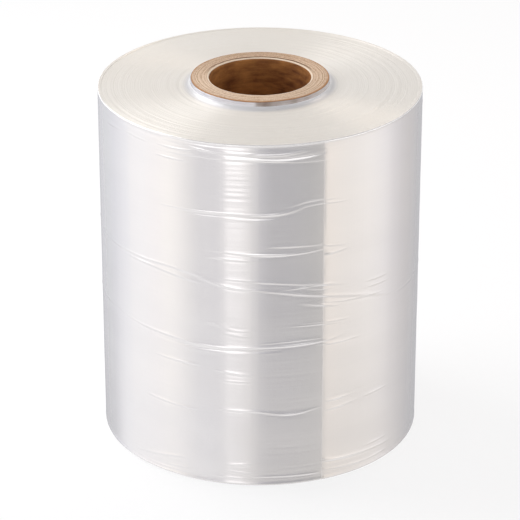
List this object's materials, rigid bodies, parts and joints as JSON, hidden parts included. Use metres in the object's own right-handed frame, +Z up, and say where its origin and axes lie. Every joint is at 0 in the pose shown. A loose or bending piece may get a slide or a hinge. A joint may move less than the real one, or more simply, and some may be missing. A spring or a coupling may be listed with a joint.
{
  "type": "stretch wrap roll",
  "caption": "Roll of clear stretch film wound on a paper core, standing on end, with its cut tail, creases and the turns of the winding showing.",
  "frame": {"origin": "centre of the base that the roll stands on", "axes": "+Z up along the core's axis, -Y towards the front, which the picture shows"},
  "size_m": [0.2434, 0.2427, 0.2805],
  "materials": {
    "kraft_paper": "matte",
    "stretch_film": "gloss"
  },
  "bodies": {
    "root": {"core": "kraft_paper", "film_roll": "stretch_film"}
  },
  "joints": []
}
